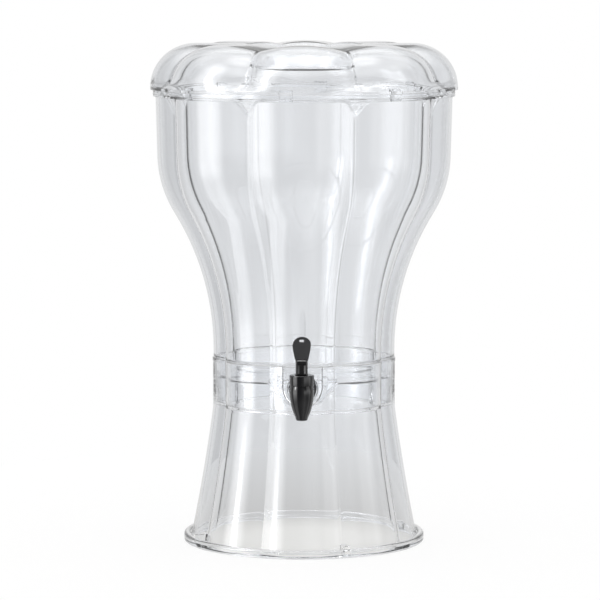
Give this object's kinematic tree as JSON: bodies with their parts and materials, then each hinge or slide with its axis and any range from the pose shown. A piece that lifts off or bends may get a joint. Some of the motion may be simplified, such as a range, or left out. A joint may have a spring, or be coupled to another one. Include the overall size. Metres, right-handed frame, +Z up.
{
  "type": "plastic drink dispenser",
  "caption": "Clear lobed plastic drink dispenser: flared tank nested in a waisted stand, domed lift-off lid with a centre well, and a black self-closing lever tap.",
  "frame": {"origin": "centre of the foot ring's underside, on the axis of the tank", "axes": "+Z up along the axis of the tank, -Y toward the tap, +X to the right of someone facing the tap"},
  "size_m": [0.312, 0.312, 0.508],
  "materials": {
    "clear_plastic": "clear moulded plastic, polished, faintly cool",
    "black_gloss": "black moulded plastic, glossy",
    "black_matte": "black moulded plastic, fine satin grain",
    "seal_rubber": "black rubber, soft and matte",
    "steel": "drawn stainless wire"
  },
  "bodies": {
    "stand": {"base_stand": "clear_plastic"},
    "vessel": {"tank": "clear_plastic", "spigot_body": "black_gloss", "outer_washer": "seal_rubber", "inner_washer": "seal_rubber", "lock_nut": "black_gloss", "bonnet": "black_gloss", "pivot_pin": "steel", "return_spring": "steel", "seat_cup": "seal_rubber"},
    "cover": {"lid": "clear_plastic"},
    "lever": {"lever": "black_matte"},
    "stem": {"valve_stem": "black_matte"}
  },
  "joints": [
    {"name": "tank_lift", "type": "slide", "parent": "stand", "child": "vessel", "axis": [0, 0, 1], "range_m": [0, 0.08]},
    {"name": "lid_lift", "type": "slide", "parent": "vessel", "child": "cover", "axis": [0, 0, 1], "range_m": [0, 0.12]},
    {"name": "lever_tilt", "type": "hinge", "parent": "vessel", "child": "lever", "pos_m": [0, -0.137, 0.183], "axis": [1, 0, 0], "range_deg": [0, 35], "stiffness_Nm_per_rad": 0.012, "springref_deg": -57.3},
    {"name": "stem_lift", "type": "slide", "parent": "vessel", "child": "stem", "axis": [0, 0, 1], "range_m": [0, 0.0025], "deforming": ["return_spring", "seat_cup"]}
  ],
  "couplings": [
    {"joint": "stem_lift", "follows": "lever_tilt", "m_per_rad": 0.00408}
  ]
}
